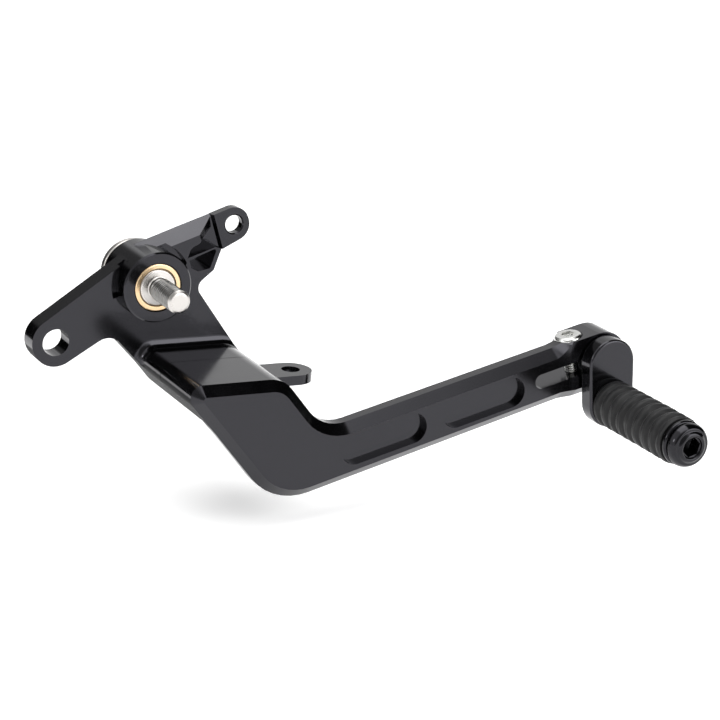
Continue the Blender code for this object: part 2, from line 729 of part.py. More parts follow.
def lever_tab():
    """A flat lug with a round end, level with the top of the neck's section."""
    u = direction(SECTION_ANGLE)
    down = direction(SECTION_ANGLE - 90.0)
    centre_x, centre_y = TAB_CENTRE
    root = 14.0 * MM
    end = Vector((centre_x, 0.0))
    corners = [
        (end.x - root, centre_y - TAB_RADIUS, 0.0),
        (end.x + TAB_RADIUS, centre_y - TAB_RADIUS, TAB_RADIUS * 0.999),
        (end.x + TAB_RADIUS, centre_y + TAB_RADIUS, TAB_RADIUS * 0.999),
        (end.x - root, centre_y + TAB_RADIUS, 0.0),
    ]
    top = meet(SECTION_TOP, SECTION_ANGLE, (centre_x, 0.0), 90.0) + down * TAB_DROP
    tab = slab("tab_guide", corners, TAB_THICKNESS, 0.0)
    hole = rod("tab_hole_guide", TAB_HOLE_RADIUS, TAB_THICKNESS + MM, -MM, (centre_x, centre_y), 32)
    # The lug's outline lies in its own X and Z; its depth runs down from the tab's top face.
    sideways = Vector((u.x, 0.0, u.y))
    downwards = Vector((down.x, 0.0, down.y))
    outwards = sideways.cross(downwards)
    turn = Matrix((sideways, downwards, outwards)).transposed().to_4x4()
    place = Matrix.Translation((top.x, 0.0, top.y)) @ turn @ Matrix.Translation((-centre_x, 0.0, 0.0))
    tab.matrix_world = place
    hole.matrix_world = place @ Matrix.Translation((centre_x, 0.0, centre_y))
    combine(tab, hole, "DIFFERENCE")
    return tab


def build_lever():
    section = neck_section()
    lever = lever_body(section)
    combine(lever, lever_tab(), "UNION")
    ahead = LEVER_FRONT - 2.0 * MM
    for number, start in enumerate(RECESS_STARTS, start=1):
        recess = obround(f"recess_{number}_cut", start, RECESS_LENGTH, RECESS_ACROSS, RECESS_RADIUS,
                         LEVER_FRONT + RECESS_DEPTH, ahead)
        combine(lever, recess, "DIFFERENCE")
    through = (CLAMP_BACK + 2.0 * MM, ahead)
    slot = obround("slot_cut", SLOT_START, -SLOT_START, SLOT_ACROSS, SLOT_WIDTH / 2.0, *through)
    combine(lever, slot, "DIFFERENCE")
    combine(lever, rod("clamp_bore_cut", CLAMP_BORE, *through, CLAMP_CENTRE, 48), "DIFFERENCE")
    middle = (LEVER_FRONT + CLAMP_BACK) / 2.0
    bolt_hole = turned("clamp_bolt_hole_cut", [
        (0.0, 14.0 * MM),
        (CLAMP_BOLT_RADIUS + FIT, 14.0 * MM),
        (CLAMP_BOLT_RADIUS + FIT, -SPOTFACE_HEIGHT),
        (SPOTFACE_RADIUS, -SPOTFACE_HEIGHT),
        (SPOTFACE_RADIUS, -16.0 * MM),
        (0.0, -16.0 * MM),
    ], segments=40)
    across_arm(bolt_hole, CLAMP_BOLT_OFFSET, middle)
    combine(lever, bolt_hole, "DIFFERENCE")
    for side, along in SCREW_PLACES.items():
        hole = rod(f"screw_{side}_thread_cut", SCREW_RADIUS + FIT, SEAM + MM, SCREW_END - MM,
                   fastener_place(along), 32)
        combine(lever, hole, "DIFFERENCE")
    for side, along in DOWEL_PLACES.items():
        hole = rod(f"dowel_{side}_seat_cut", DOWEL_RADIUS + FIT, SEAM + MM, DOWEL_FRONT - GAP,
                   fastener_place(along), 24)
        combine(lever, hole, "DIFFERENCE")


# ---------------------------------------------------------------- joint fasteners

def build_joint():
    washer_front = COUNTERBORE_FLOOR + FIT
    washer_back = washer_front + 0.8 * MM
    head_front = washer_back + FIT
    head_back = head_front + SCREW_HEAD_HEIGHT
    edge = 0.4 * MM
    for side, along in SCREW_PLACES.items():
        place = fastener_place(along)
        screw = turned(f"joint_screw_{side}", [
            (0.0, head_back),
            (SCREW_HEAD_RADIUS - edge, head_back),
            (SCREW_HEAD_RADIUS, head_back - edge),
            (SCREW_HEAD_RADIUS, head_front),
            (SCREW_RADIUS, head_front),
            (SCREW_RADIUS, SCREW_END + edge),
            (SCREW_RADIUS - edge, SCREW_END),
            (0.0, SCREW_END),
        ], "black_steel", 32, centre=place)
        socket = hexagon(f"joint_screw_{side}_socket_cut", 2.9 * MM, head_back + MM,
                         head_back - 3.0 * MM, place)
        combine(screw, socket, "DIFFERENCE")
        tube(f"joint_washer_{side}", SCREW_RADIUS + FIT, SCREW_HEAD_RADIUS - FIT, washer_back,
             washer_front, "zinc_steel", 0.15 * MM, 32, place)
    for side, along in DOWEL_PLACES.items():
        turned(f"joint_dowel_{side}", [
            (0.0, DOWEL_BACK),
            (DOWEL_RADIUS - edge, DOWEL_BACK),
            (DOWEL_RADIUS, DOWEL_BACK - edge),
            (DOWEL_RADIUS, DOWEL_FRONT + edge),
            (DOWEL_RADIUS - edge, DOWEL_FRONT),
            (0.0, DOWEL_FRONT),
        ], "zinc_steel", 24, centre=fastener_place(along))


# ---------------------------------------------------------------- clamp bolt

def build_clamp_bolt():
    """The clamp's screw and washer, turned about Y and then stood across the arm."""
    middle = (LEVER_FRONT + CLAMP_BACK) / 2.0
    washer_low = -(SPOTFACE_HEIGHT + FIT)
    washer_high = washer_low - 0.8 * MM
    head_low = washer_high - FIT
    head_radius, head_height = 4.7 * MM, 2.6 * MM
    washer = tube("clamp_washer", CLAMP_BOLT_RADIUS + FIT, 4.95 * MM, washer_low, washer_high,
                  "zinc_steel", 0.2 * MM, 36)
    across_arm(washer, CLAMP_BOLT_OFFSET, middle)
    profile = [
        (0.0, -CLAMP_BOLT_END),
        (CLAMP_BOLT_RADIUS - 0.4 * MM, -CLAMP_BOLT_END),
        (CLAMP_BOLT_RADIUS, -CLAMP_BOLT_END - 0.4 * MM),
        (CLAMP_BOLT_RADIUS, head_low),
        (head_radius, head_low),
    ]
    edge_height, flat_radius, steps = 1.7 * MM, 3.0 * MM, 3
    for k in range(steps + 1):
        turn = math.radians(90.0) * k / steps
        profile.append((flat_radius + (head_radius - flat_radius) * math.cos(turn),
                        head_low - edge_height - (head_height - edge_height) * math.sin(turn)))
    profile.append((0.0, head_low - head_height))
    bolt = turned("clamp_bolt", profile, "zinc_steel", 36)
    socket = hexagon("clamp_bolt_socket_cut", 2.05 * MM, head_low - 1.1 * MM, head_low - head_height - MM)
    across_arm(bolt, CLAMP_BOLT_OFFSET, middle)
    across_arm(socket, CLAMP_BOLT_OFFSET, middle)
    combine(bolt, socket, "DIFFERENCE")


# ---------------------------------------------------------------- toe peg

def holder_outline():
    """Two circles of different size joined by their outer tangents."""
    top, low = Vector(CLAMP_CENTRE), Vector(PEG_CENTRE)
    axis = low - top
    heading = math.atan2(axis.y, axis.x)
    spread = math.acos((HOLDER_LOW_RADIUS - HOLDER_TOP_RADIUS) / axis.length)
    points = []
    steps = 20
    for centre, radius, first, last in (
        (low, HOLDER_LOW_RADIUS, heading - spread, heading + spread),
        (top, HOLDER_TOP_RADIUS, heading + spread, heading - spread + 2.0 * math.pi),
    ):
        for k in range(steps + 1):
            angle = first + (last - first) * k / steps
            points.append((centre.x + radius * math.cos(angle), centre.y + radius * math.sin(angle), 0.0))
    return points


def build_holder():
    """The eccentric plate; its origin is on the clamp's axis, which it turns about."""
    edge = 0.6 * MM
    levels = [
        (HOLDER_BACK, edge),
        (HOLDER_BACK - edge, 0.0),
        (HOLDER_FRONT + edge, 0.0),
        (HOLDER_FRONT, edge),
    ]
    holder = prism("peg_holder", holder_outline(), levels, "black_anodised")
    shank = turned("shank_guide", [
        (0.0, CLAMP_BACK - GAP),
        (SHANK_RADIUS - edge, CLAMP_BACK - GAP),
        (SHANK_RADIUS, CLAMP_BACK - GAP - edge),
        (SHANK_RADIUS, HOLDER_BACK - 2.0 * MM),
        (0.0, HOLDER_BACK - 2.0 * MM),
    ], segments=48, centre=CLAMP_CENTRE)
    combine(holder, shank, "UNION")
    thread = rod("peg_thread_cut", PEG_BOLT_RADIUS + FIT, HOLDER_BACK + MM, HOLDER_FRONT - MM,
                 PEG_CENTRE, 32)
    combine(holder, thread, "DIFFERENCE")


def ribbed_profile():
    """The rubber's outside from the plate outwards: round ribs between narrow grooves."""
    back, front = HOLDER_FRONT - GAP, RUBBER_FRONT
    pitch = (back - front) / RIB_COUNT
    groove = 1.0 * MM
    profile = [(RUBBER_BORE, back), (RUBBER_RADIUS - groove, back)]
    for rib in range(RIB_COUNT):
        start = back - rib * pitch
        for part, height in ((0.14, 0.72), (0.32, 1.0), (0.68, 1.0), (0.86, 0.72), (1.0, 0.0)):
            profile.append((RUBBER_RADIUS - groove * (1.0 - height), start - part * pitch))
    profile.append((RUBBER_BORE, front))
    return profile


def build_peg():
    peg = {"centre": PEG_CENTRE}
    turned("peg_rubber", ribbed_profile(), "rubber", 36, hollow=True, **peg)
    tube("peg_core", CORE_BORE, CORE_OUTER, HOLDER_FRONT - GAP, RUBBER_FRONT, "zinc_steel",
         0.3 * MM, 36, PEG_CENTRE)
    edge = 0.6 * MM
    washer_back = RUBBER_FRONT - GAP
    tube("peg_end_washer", CORE_BORE, 8.0 * MM, washer_back, PEG_WASHER_FRONT, "black_steel",
         edge, 48, PEG_CENTRE)
    head_back = PEG_WASHER_FRONT - GAP
    neck = 6.6 * MM
    bolt = turned("peg_bolt", [
        (0.0, HOLDER_BACK - GAP),
        (PEG_BOLT_RADIUS - edge, HOLDER_BACK - GAP),
        (PEG_BOLT_RADIUS, HOLDER_BACK - GAP - edge),
        (PEG_BOLT_RADIUS, head_back),
        (neck, head_back),
        (neck, head_back - 0.8 * MM),
        (PEG_HEAD_RADIUS, head_back - 1.2 * MM),
        (PEG_HEAD_RADIUS, PEG_HEAD_FRONT + 2.0 * MM),
        (PEG_HEAD_RADIUS - 0.6 * MM, PEG_HEAD_FRONT + 0.6 * MM),
        (PEG_HEAD_RADIUS - 2.3 * MM, PEG_HEAD_FRONT),
        (0.0, PEG_HEAD_FRONT),
    ], "black_steel", 48, **peg)
    socket = hexagon("peg_socket_cut", PEG_SOCKET, PEG_HEAD_FRONT + 4.0 * MM, PEG_HEAD_FRONT - MM, PEG_CENTRE)
    combine(bolt, socket, "DIFFERENCE")


clear_scene()
MATERIAL = {name: make_material(name) for name in MATERIALS}
build_pivot()
build_bracket()
build_lever()
build_joint()
build_clamp_bolt()
build_holder()
build_peg()
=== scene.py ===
"""The gear shift lever's looks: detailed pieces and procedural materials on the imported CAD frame."""

import math

import bmesh
import bpy
from mathutils import Matrix, Vector


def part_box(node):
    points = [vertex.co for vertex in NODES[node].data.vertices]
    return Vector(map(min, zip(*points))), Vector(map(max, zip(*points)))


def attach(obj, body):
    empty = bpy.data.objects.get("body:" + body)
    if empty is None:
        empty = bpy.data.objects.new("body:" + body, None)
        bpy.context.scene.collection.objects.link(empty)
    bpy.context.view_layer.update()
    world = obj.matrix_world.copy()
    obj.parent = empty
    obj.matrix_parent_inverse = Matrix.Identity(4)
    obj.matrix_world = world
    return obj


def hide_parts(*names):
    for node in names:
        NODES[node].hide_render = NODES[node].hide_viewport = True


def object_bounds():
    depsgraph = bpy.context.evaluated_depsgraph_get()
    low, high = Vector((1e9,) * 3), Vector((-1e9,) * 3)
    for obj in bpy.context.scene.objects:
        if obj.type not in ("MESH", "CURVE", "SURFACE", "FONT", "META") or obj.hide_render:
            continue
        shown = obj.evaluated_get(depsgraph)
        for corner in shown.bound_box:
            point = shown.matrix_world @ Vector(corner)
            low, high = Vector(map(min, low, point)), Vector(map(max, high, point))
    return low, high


MM = 0.001

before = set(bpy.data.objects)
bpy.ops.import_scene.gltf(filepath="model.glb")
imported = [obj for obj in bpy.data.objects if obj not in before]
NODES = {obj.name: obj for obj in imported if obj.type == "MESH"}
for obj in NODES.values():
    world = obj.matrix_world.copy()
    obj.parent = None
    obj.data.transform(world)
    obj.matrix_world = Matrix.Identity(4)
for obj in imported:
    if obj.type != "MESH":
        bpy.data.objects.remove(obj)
cad_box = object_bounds()

# Threads of the pivot bolt and of the clamp's screw. The flat roots and the sloping flanks are shares
# of half a pitch, and the rest of it is the crest.
PIVOT_THREAD = {"radius": 4.0 * MM, "pitch": 1.25 * MM, "depth": 0.72 * MM}
THREAD_ROOT = PIVOT_THREAD["radius"] - PIVOT_THREAD["depth"]
CLAMP_THREAD = {"radius": 2.5 * MM, "pitch": 0.8 * MM, "depth": 0.42 * MM}
ROOT_SHARE = 0.1
FLANK_SHARE = 0.78

# Pivot bolt.
SHOULDER_RADIUS = 6.4 * MM
SHOULDER_CHAMFER = 0.45 * MM
UNDERCUT_RADIUS = 3.45 * MM
BOLT_SOCKET = 4.6 * MM
BOLT_SOCKET_DEPTH = 5.0 * MM
WASHER_GAP = 0.3 * MM
# Its steel passes from turned to threaded, and its colour from bright to the thread's painted shade,
# between these depths along Y, at the tip and the shoulder.
TURNED_TIP = (-17.3 * MM, -16.9 * MM)
TURNED_SHOULDER = (-0.6 * MM, -0.1 * MM)

# Clamp screw, in its own upright frame, and the slope in degrees of the arm that it stands on.
ARM_SLOPE = 9.2
CLAMP_SEAT = 0.6 * MM
CLAMP_HEAD_RADIUS = 5.0 * MM
CLAMP_HEAD_HEIGHT = 2.55 * MM
CLAMP_SHANK_RADIUS = 2.3 * MM
CLAMP_SHANK_LENGTH = 3.0 * MM
CLAMP_SCREW_LENGTH = 18.7 * MM
CLAMP_SOCKET = 2.45 * MM

# Rubber sleeve: ribs and fine lines along its length, and how far the ribs lean in one turn. They fade
# out over END_SHARE of the length, and over SEAM_WIDTH of half a turn on each side of the mould's seams.
RIB_COUNT = 8.5
RIB_DEPTH = 1.25 * MM
RIB_LEAN = 0.5
RIB_SHARPNESS = 2.6
FINE_LINES = 31.0
LINE_DEPTH = 0.04 * MM
LUMP_HEIGHT = 0.035 * MM
RUBBER_BORE = 6.2 * MM
RUBBER_SKIN = 0.12 * MM
RUBBER_END_ROUND = 0.35 * MM
RUBBER_END_STEP = 0.5 * MM
END_SHARE = 0.03
SEAM_WIDTH = 0.04

# Peg's end ring and bolt.
RING_BORE = 4.4 * MM
PEG_BOLT_RADIUS = 4.0 * MM
PEG_SOCKET = 3.6 * MM
PEG_SOCKET_DEPTH = 6.4 * MM
RING_GAP = 0.3 * MM

# Hex sockets narrow towards a flat floor.
FLOOR_SCALE = 0.55
FLOOR_CONE = 0.5 * MM

# Machined edges of the CAD shapes: angles in degrees, and the segments of each round.
FLAT_ANGLE = 0.4
EDGE_ANGLE = 26.0
EDGE_SEGMENTS = 3

# Lathe marks run round the Y axis.
LATHE_STRETCH = (1.0, 90.0, 1.0)

# Studio floor.
FLOOR_GAP = 9.6 * MM
FLOOR_REACH = 4.0
DIP_START = 70.0 * MM
DIP_END = 130.0 * MM
DIP_DEPTH = 18.0 * MM
DIP_STEPS = 24

# Studio walls: an even level, and patches that add to it or take from it. A patch starts with its
# brightness. Its steps each rise from 0 at one bound to 1 at the other, along one axis of direction.
WALL_LEVEL = 1.15
WALL_PATCHES = {
    "dark_card": (-1.15, ("x", 0.26, 0.33), ("y", -0.55, -0.49), ("y", 0.55, 0.4), ("z", -0.3, -0.15)),
    "dim_corner": (-0.95, ("x", 0.12, -0.04), ("y", 0.4, 0.55), ("z", 0.0, 0.12)),
    "dim_front": (-0.85, ("x", 0.08, -0.04), ("y", -0.38, -0.5), ("z", 0.05, 0.15)),
    "pale_back": (-0.25, ("x", 0.1, 0.2), ("y", 0.6, 0.75), ("z", 0.1, 0.2)),
    "overhead": (
        2.4, ("x", -0.45, -0.3), ("x", 0.33, 0.2), ("y", -0.5, -0.25), ("y", 0.65, 0.5), ("z", 0.72, 0.84),
    ),
    "front_box": (2.9, ("x", 0.16, 0.26), ("y", -0.5, -0.56), ("z", -0.02, 0.04), ("z", 0.8, 0.72)),
    "side_strip": (
        8.0, ("x", -0.78, -0.83), ("y", -0.2, -0.14), ("y", 0.1, 0.04), ("z", 0.26, 0.32), ("z", 0.5, 0.42),
    ),
}

# Camera: place in metres, pitch and heading in degrees, and lens in millimetres.
CAMERA_PLACE = (-0.27146, -0.66808, 0.22768)
CAMERA_PITCH = 70.572
CAMERA_HEADING = -27.479
CAMERA_LENS = 112.5


# ---------------------------------------------------------------- materials

class Shader:
    """Lays out the nodes of one procedural material."""

    def __init__(self, name):
        self.material = bpy.data.materials.new(name)
        self.material.use_nodes = True
        self.tree = self.material.node_tree
        self.principled = self.tree.nodes["Principled BSDF"]
        self.position = self.node("ShaderNodeTexCoord").outputs["Object"]

    def node(self, kind, **settings):
        item = self.tree.nodes.new(kind)
        for key, value in settings.items():
            setattr(item, key, value)
        return item

    def link(self, output, target):
        self.tree.links.new(output, target)

    def set(self, **values):
        for key, value in values.items():
            self.principled.inputs[key.replace("_", " ")].default_value = value

    def noise(self, scale, detail=4.0, roughness=0.5, stretch=None):
        source = self.position
        if stretch:
            mapping = self.node("ShaderNodeMapping")
            mapping.inputs["Scale"].default_value = stretch
            self.link(source, mapping.inputs["Vector"])
            source = mapping.outputs["Vector"]
        noise = self.node("ShaderNodeTexNoise")
        noise.inputs["Scale"].default_value = scale
        noise.inputs["Detail"].default_value = detail
        noise.inputs["Roughness"].default_value = roughness
        self.link(source, noise.inputs["Vector"])
        return noise.outputs["Fac"]

    def spread(self, value, low, high, start=0.3, end=0.7):
        """Maps a noise onto a range."""
        mapping = self.node("ShaderNodeMapRange")
        mapping.inputs["From Min"].default_value = start
        mapping.inputs["From Max"].default_value = end
        mapping.inputs["To Min"].default_value = low
        mapping.inputs["To Max"].default_value = high
        self.link(value, mapping.inputs["Value"])
        return mapping.outputs["Result"]

    def blend_colours(self, value, first, second):
        mix = self.node("ShaderNodeMix", data_type="RGBA")
        mix.inputs["A"].default_value = (*first, 1.0)
        mix.inputs["B"].default_value = (*second, 1.0)
        self.link(value, mix.inputs["Factor"])
        return mix.outputs["Result"]

    def colour(self, output):
        self.link(output, self.principled.inputs["Base Color"])

    def roughness(self, output):
        self.link(output, self.principled.inputs["Roughness"])

    def bump(self, output, strength, distance):
        bump = self.node("ShaderNodeBump")
        bump.inputs["Strength"].default_value = strength
        bump.inputs["Distance"].default_value = distance
        self.link(output, bump.inputs["Height"])
        self.link(bump.outputs["Normal"], self.principled.inputs["Normal"])


def anodised(name, dark, light, low, high):
    """Black anodised aluminium: a satin dielectric skin over dark metal."""
    shader = Shader(name)
    shader.colour(shader.blend_colours(shader.noise(42.0, 3.0), dark, light))
    shader.set(Metallic=0.0, IOR=1.52, Specular_Tint=(0.91, 0.9, 1.0, 1.0))
    shader.roughness(shader.spread(shader.noise(120.0, 5.0), low, high))
    shader.bump(shader.noise(900.0, 3.0), 0.02, 0.01 * MM)
    return shader.material


def turned_metal(name, dark, light, low, high):
    """Bare metal with fine lathe marks."""
    shader = Shader(name)
    marks = shader.noise(26.0, 4.0, 0.6, LATHE_STRETCH)
    shader.colour(shader.blend_colours(marks, dark, light))
    shader.set(Metallic=1.0, IOR=2.5)
    shader.roughness(shader.spread(marks, low, high))
    shader.bump(marks, 0.05, 0.03 * MM)
    return shader.material


def bolt_steel(name):
    """Stainless steel: bright on the turned faces, with the thread painted darker and painted shade deepest
    in its roots.
    """
    shader = Shader(name)
    marks = shader.noise(26.0, 4.0, 0.6, LATHE_STRETCH)
    split = shader.node("ShaderNodeSeparateXYZ")
    shader.link(shader.position, split.inputs[0])
    across = shader.node("ShaderNodeVectorMath", operation="MULTIPLY")
    across.inputs[1].default_value = (1.0, 0.0, 1.0)
    shader.link(shader.position, across.inputs[0])
    radius = shader.node("ShaderNodeVectorMath", operation="LENGTH")
    shader.link(across.outputs["Vector"], radius.inputs[0])
    # Painted shade: the thread's colour goes from near black in its roots to grey at its crests, darker
    # than the turned faces.
    thread_crest = PIVOT_THREAD["radius"] - 0.05 * MM
    crest = shader.spread(radius.outputs["Value"], 0.0, 1.0, THREAD_ROOT, thread_crest)
    thread_painted_shade = shader.blend_colours(crest, (0.012, 0.012, 0.0125), (0.27, 0.265, 0.257))
    bright = shader.blend_colours(marks, (0.46, 0.44, 0.42), (0.74, 0.71, 0.68))
    front = shader.spread(split.outputs["Y"], 1.0, 0.0, *TURNED_TIP)
    behind = shader.spread(split.outputs["Y"], 0.0, 1.0, *TURNED_SHOULDER)
    turned = shader.node("ShaderNodeMath", operation="MAXIMUM")
    shader.link(front, turned.inputs[0])
    shader.link(behind, turned.inputs[1])
    mix = shader.node("ShaderNodeMix", data_type="RGBA")
    shader.link(turned.outputs[0], mix.inputs["Factor"])
    shader.link(thread_painted_shade, mix.inputs["A"])
    shader.link(bright, mix.inputs["B"])
    shader.colour(mix.outputs["Result"])
    shader.set(Metallic=1.0, IOR=2.5)
    shader.roughness(shader.spread(marks, 0.22, 0.34))
    shader.bump(marks, 0.06, 0.03 * MM)
    return shader.material


def plated(name):
    """Zinc plated steel with a soft, uneven sheen."""
    shader = Shader(name)
    cloud = shader.noise(240.0, 5.0)
    shader.colour(shader.blend_colours(cloud, (0.56, 0.56, 0.55), (0.72, 0.72, 0.7)))
    shader.set(Metallic=1.0, IOR=2.5)
    shader.roughness(shader.spread(cloud, 0.16, 0.3))
    shader.bump(shader.noise(1900.0, 3.0), 0.04, 0.02 * MM)
    return shader.material


def glossy_steel(name):
    """Black oxide steel polished to a deep gloss."""
    shader = Shader(name)
    cloud = shader.noise(160.0, 4.0)
    shader.colour(shader.blend_colours(cloud, (0.0012, 0.0012, 0.0014), (0.0025, 0.0025, 0.0028)))
    shader.set(Metallic=0.0, IOR=1.42, Specular_Tint=(0.92, 0.91, 1.0, 1.0))
    shader.roughness(shader.spread(cloud, 0.05, 0.1))
    shader.bump(shader.noise(2600.0, 2.0), 0.02, 0.02 * MM)
    return shader.material


def moulded_rubber(name):
    """Matt black rubber with a fine moulded grain and a dusty bloom."""
    shader = Shader(name)
    bloom = shader.spread(shader.noise(95.0, 5.0, 0.6), 0.0, 1.0, 0.35, 0.75)
    shader.colour(shader.blend_colours(bloom, (0.005, 0.005, 0.0054), (0.011, 0.011, 0.0114)))
    shader.set(Metallic=0.0, IOR=1.4)
    shader.roughness(shader.spread(shader.noise(300.0, 4.0), 0.45, 0.6))
    shader.bump(shader.noise(110.0, 6.0, 0.7, (1.0, 11.0, 1.0)), 0.8, 0.22 * MM)
    return shader.material


MATERIALS = {
    "black_anodised": anodised(
        "black_anodised_skin", (0.0009, 0.0009, 0.001), (0.0016, 0.0016, 0.0018), 0.12, 0.17,
    ),
    "stainless": bolt_steel("stainless_turned"),
    "bronze": turned_metal("bronze_turned", (0.74, 0.5, 0.27), (0.92, 0.72, 0.47), 0.2, 0.32),
    "zinc_steel": plated("zinc_plate"),
    "black_steel": glossy_steel("black_steel_gloss"),
    "rubber": moulded_rubber("black_rubber"),
}
WORN_EDGE = anodised(
    "black_anodised_edge", (0.004, 0.004, 0.0045), (0.012, 0.012, 0.0125), 0.16, 0.24,
)


# ---------------------------------------------------------------- meshes

def new_piece(name, bm, material, body, stands_for):
    bmesh.ops.recalc_face_normals(bm, faces=bm.faces[:])
    mesh = bpy.data.meshes.new(name)
    bm.to_mesh(mesh)
    bm.free()
    piece = bpy.data.objects.new(name, mesh)
    bpy.context.scene.collection.objects.link(piece)
    return dress(piece, material, body, stands_for)


def dress(piece, material, body, stands_for):
    piece.data.materials.clear()
    piece.data.materials.append(MATERIALS[material])
    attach(piece, body)
    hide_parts(stands_for)
    return piece


def smooth(piece, angle):
    piece.data.shade_smooth()
    piece.data.set_sharp_from_angle(angle=math.radians(angle))


def soften(piece, width):
    """Breaks a piece's sharp edges with a small round and keeps its flat faces flat in the light."""
    modifier = piece.modifiers.new("edges", "BEVEL")
    modifier.width = width
    modifier.segments = EDGE_SEGMENTS
    modifier.limit_method = "ANGLE"
    modifier.angle_limit = math.radians(EDGE_ANGLE)
    normals = piece.modifiers.new("normals", "WEIGHTED_NORMAL")
    normals.mode = "FACE_AREA"
    normals.weight = 100
    normals.keep_sharp = True
    return modifier


def softened_copy(node, body, material, width):
    """A CAD node's own shape with its flat faces merged and its edges rounded."""
    bm = bmesh.new()
    bm.from_mesh(NODES[node].data)
    bmesh.ops.remove_doubles(bm, verts=bm.verts[:], dist=1e-6)
    flat = math.radians(FLAT_ANGLE)
    bmesh.ops.dissolve_limit(bm, angle_limit=flat, verts=bm.verts[:], edges=bm.edges[:])
    piece = new_piece(f"{node}_shape", bm, material, body, node)
    smooth(piece, EDGE_ANGLE)
    modifier = soften(piece, width)
    if material == "black_anodised":
        piece.data.materials.append(WORN_EDGE)
        modifier.material = 1
    return piece


def bridge_rings(bm, rings):
    """Joins each ring of vertices to the next, and comes to a point where a ring is one vertex."""
    for ring_a, ring_b in zip(rings, rings[1:]):
        count = max(len(ring_a), len(ring_b))
        for i in range(count):
            j = (i + 1) % count
            if len(ring_a) == 1:
                bm.faces.new((ring_a[0], ring_b[i], ring_b[j]))
            elif len(ring_b) == 1:
                bm.faces.new((ring_b[0], ring_a[i], ring_a[j]))
            else:
                bm.faces.new((ring_a[i], ring_a[j], ring_b[j], ring_b[i]))


def carve(piece, cutter_mesh):
    """Cuts a mesh out of a piece and keeps only the result."""
    cutter = bpy.data.objects.new("cutter", cutter_mesh)
    bpy.context.scene.collection.objects.link(cutter)
    modifier = piece.modifiers.new("cut", "BOOLEAN")
    modifier.operation = "DIFFERENCE"
    modifier.solver = "EXACT"
    modifier.object = cutter
    graph = bpy.context.evaluated_depsgraph_get()
    result = bpy.data.meshes.new_from_object(piece.evaluated_get(graph))
    piece.modifiers.remove(modifier)
    old = piece.data
    piece.data = result
    bpy.data.meshes.remove(old)
    bpy.data.objects.remove(cutter)
    bpy.data.meshes.remove(cutter_mesh)


def around(centre, radius, depth, angle):
    """A point at an angle round a Y axis through centre."""
    return (centre[0] + radius * math.cos(angle), depth, centre[1] + radius * math.sin(angle))


def hex_mesh(radius, start, end, centre, turn=0.0):
    """A hexagonal prism about Y that narrows at its start, the floor of the socket it cuts."""
    bm = bmesh.new()
    sign = 1.0 if end > start else -1.0
    rings = [[bm.verts.new((centre[0], start, centre[1]))]]
    corners = [math.radians(60.0 * k + turn) for k in range(6)]
    for scale, depth in ((FLOOR_SCALE, start), (1.0, start + sign * FLOOR_CONE), (1.0, end)):
        rings.append([bm.verts.new(around(centre, radius * scale, depth, angle)) for angle in corners])
    rings.append([bm.verts.new((centre[0], end, centre[1]))])
    bridge_rings(bm, rings)
    bmesh.ops.recalc_face_normals(bm, faces=bm.faces[:])
    mesh = bpy.data.meshes.new("hex")
    bm.to_mesh(mesh)
    bm.free()
    return mesh


def thread_rings(thread, start, end, centre, segments=48, per_pitch=10, runout=1.0 * MM):
    """Rings of points (x, depth, z) along a helical thread that fades in at start and out at end."""
    rows = math.ceil(abs(end - start) / thread["pitch"] * per_pitch)
    rings = []
    for row in range(rows + 1):
        depth = start + (end - start) * row / rows
        travelled = abs(depth - start)
        left = abs(end - depth)
        fade = min(1.0, travelled / runout, left / (0.4 * runout) + 0.05)
        ring = []
        for k in range(segments):
            share = k / segments
            phase = (travelled / thread["pitch"] + share) % 1.0
            height = abs(2.0 * phase - 1.0)
            height = min(1.0, max(0.0, (height - ROOT_SHARE) / FLANK_SHARE))
            radius = thread["radius"] - thread["depth"] * (1.0 - height) * fade
            ring.append(around(centre, radius, depth, 2.0 * math.pi * share))
        rings.append(ring)
    return rings


def plain_ring(radius, depth, centre, segments):
    if radius == 0.0:
        return [(centre[0], depth, centre[1])]
    return [around(centre, radius, depth, 2.0 * math.pi * k / segments) for k in range(segments)]


def skin(point_rings, closed=False):
    """A mesh over rings of points, with its last ring joined to its first when closed."""
    bm = bmesh.new()
    rows = [[bm.verts.new(point) for point in ring] for ring in point_rings]
    bridge_rings(bm, rows + rows[:1] if closed else rows)
    return bm


def rounded_profile(profile, radius, steps=3):
    """Rounds the inner corners of an open profile."""
    points = [Vector(profile[0])]
    for before, corner, after in zip(profile, profile[1:], profile[2:]):
        before, corner, after = Vector(before), Vector(corner), Vector(after)
        reach = min(radius, (before - corner).length * 0.45, (after - corner).length * 0.45)
        start = corner + (before - corner).normalized() * reach
        end = corner + (after - corner).normalized() * reach
        for k in range(steps + 1):
            t = k / steps
            points.append(start * (1 - t) ** 2 + corner * 2 * t * (1 - t) + end * t * t)
    points.append(Vector(profile[-1]))
    return [(max(0.0, p.x), p.y) for p in points]


# ---------------------------------------------------------------- pieces

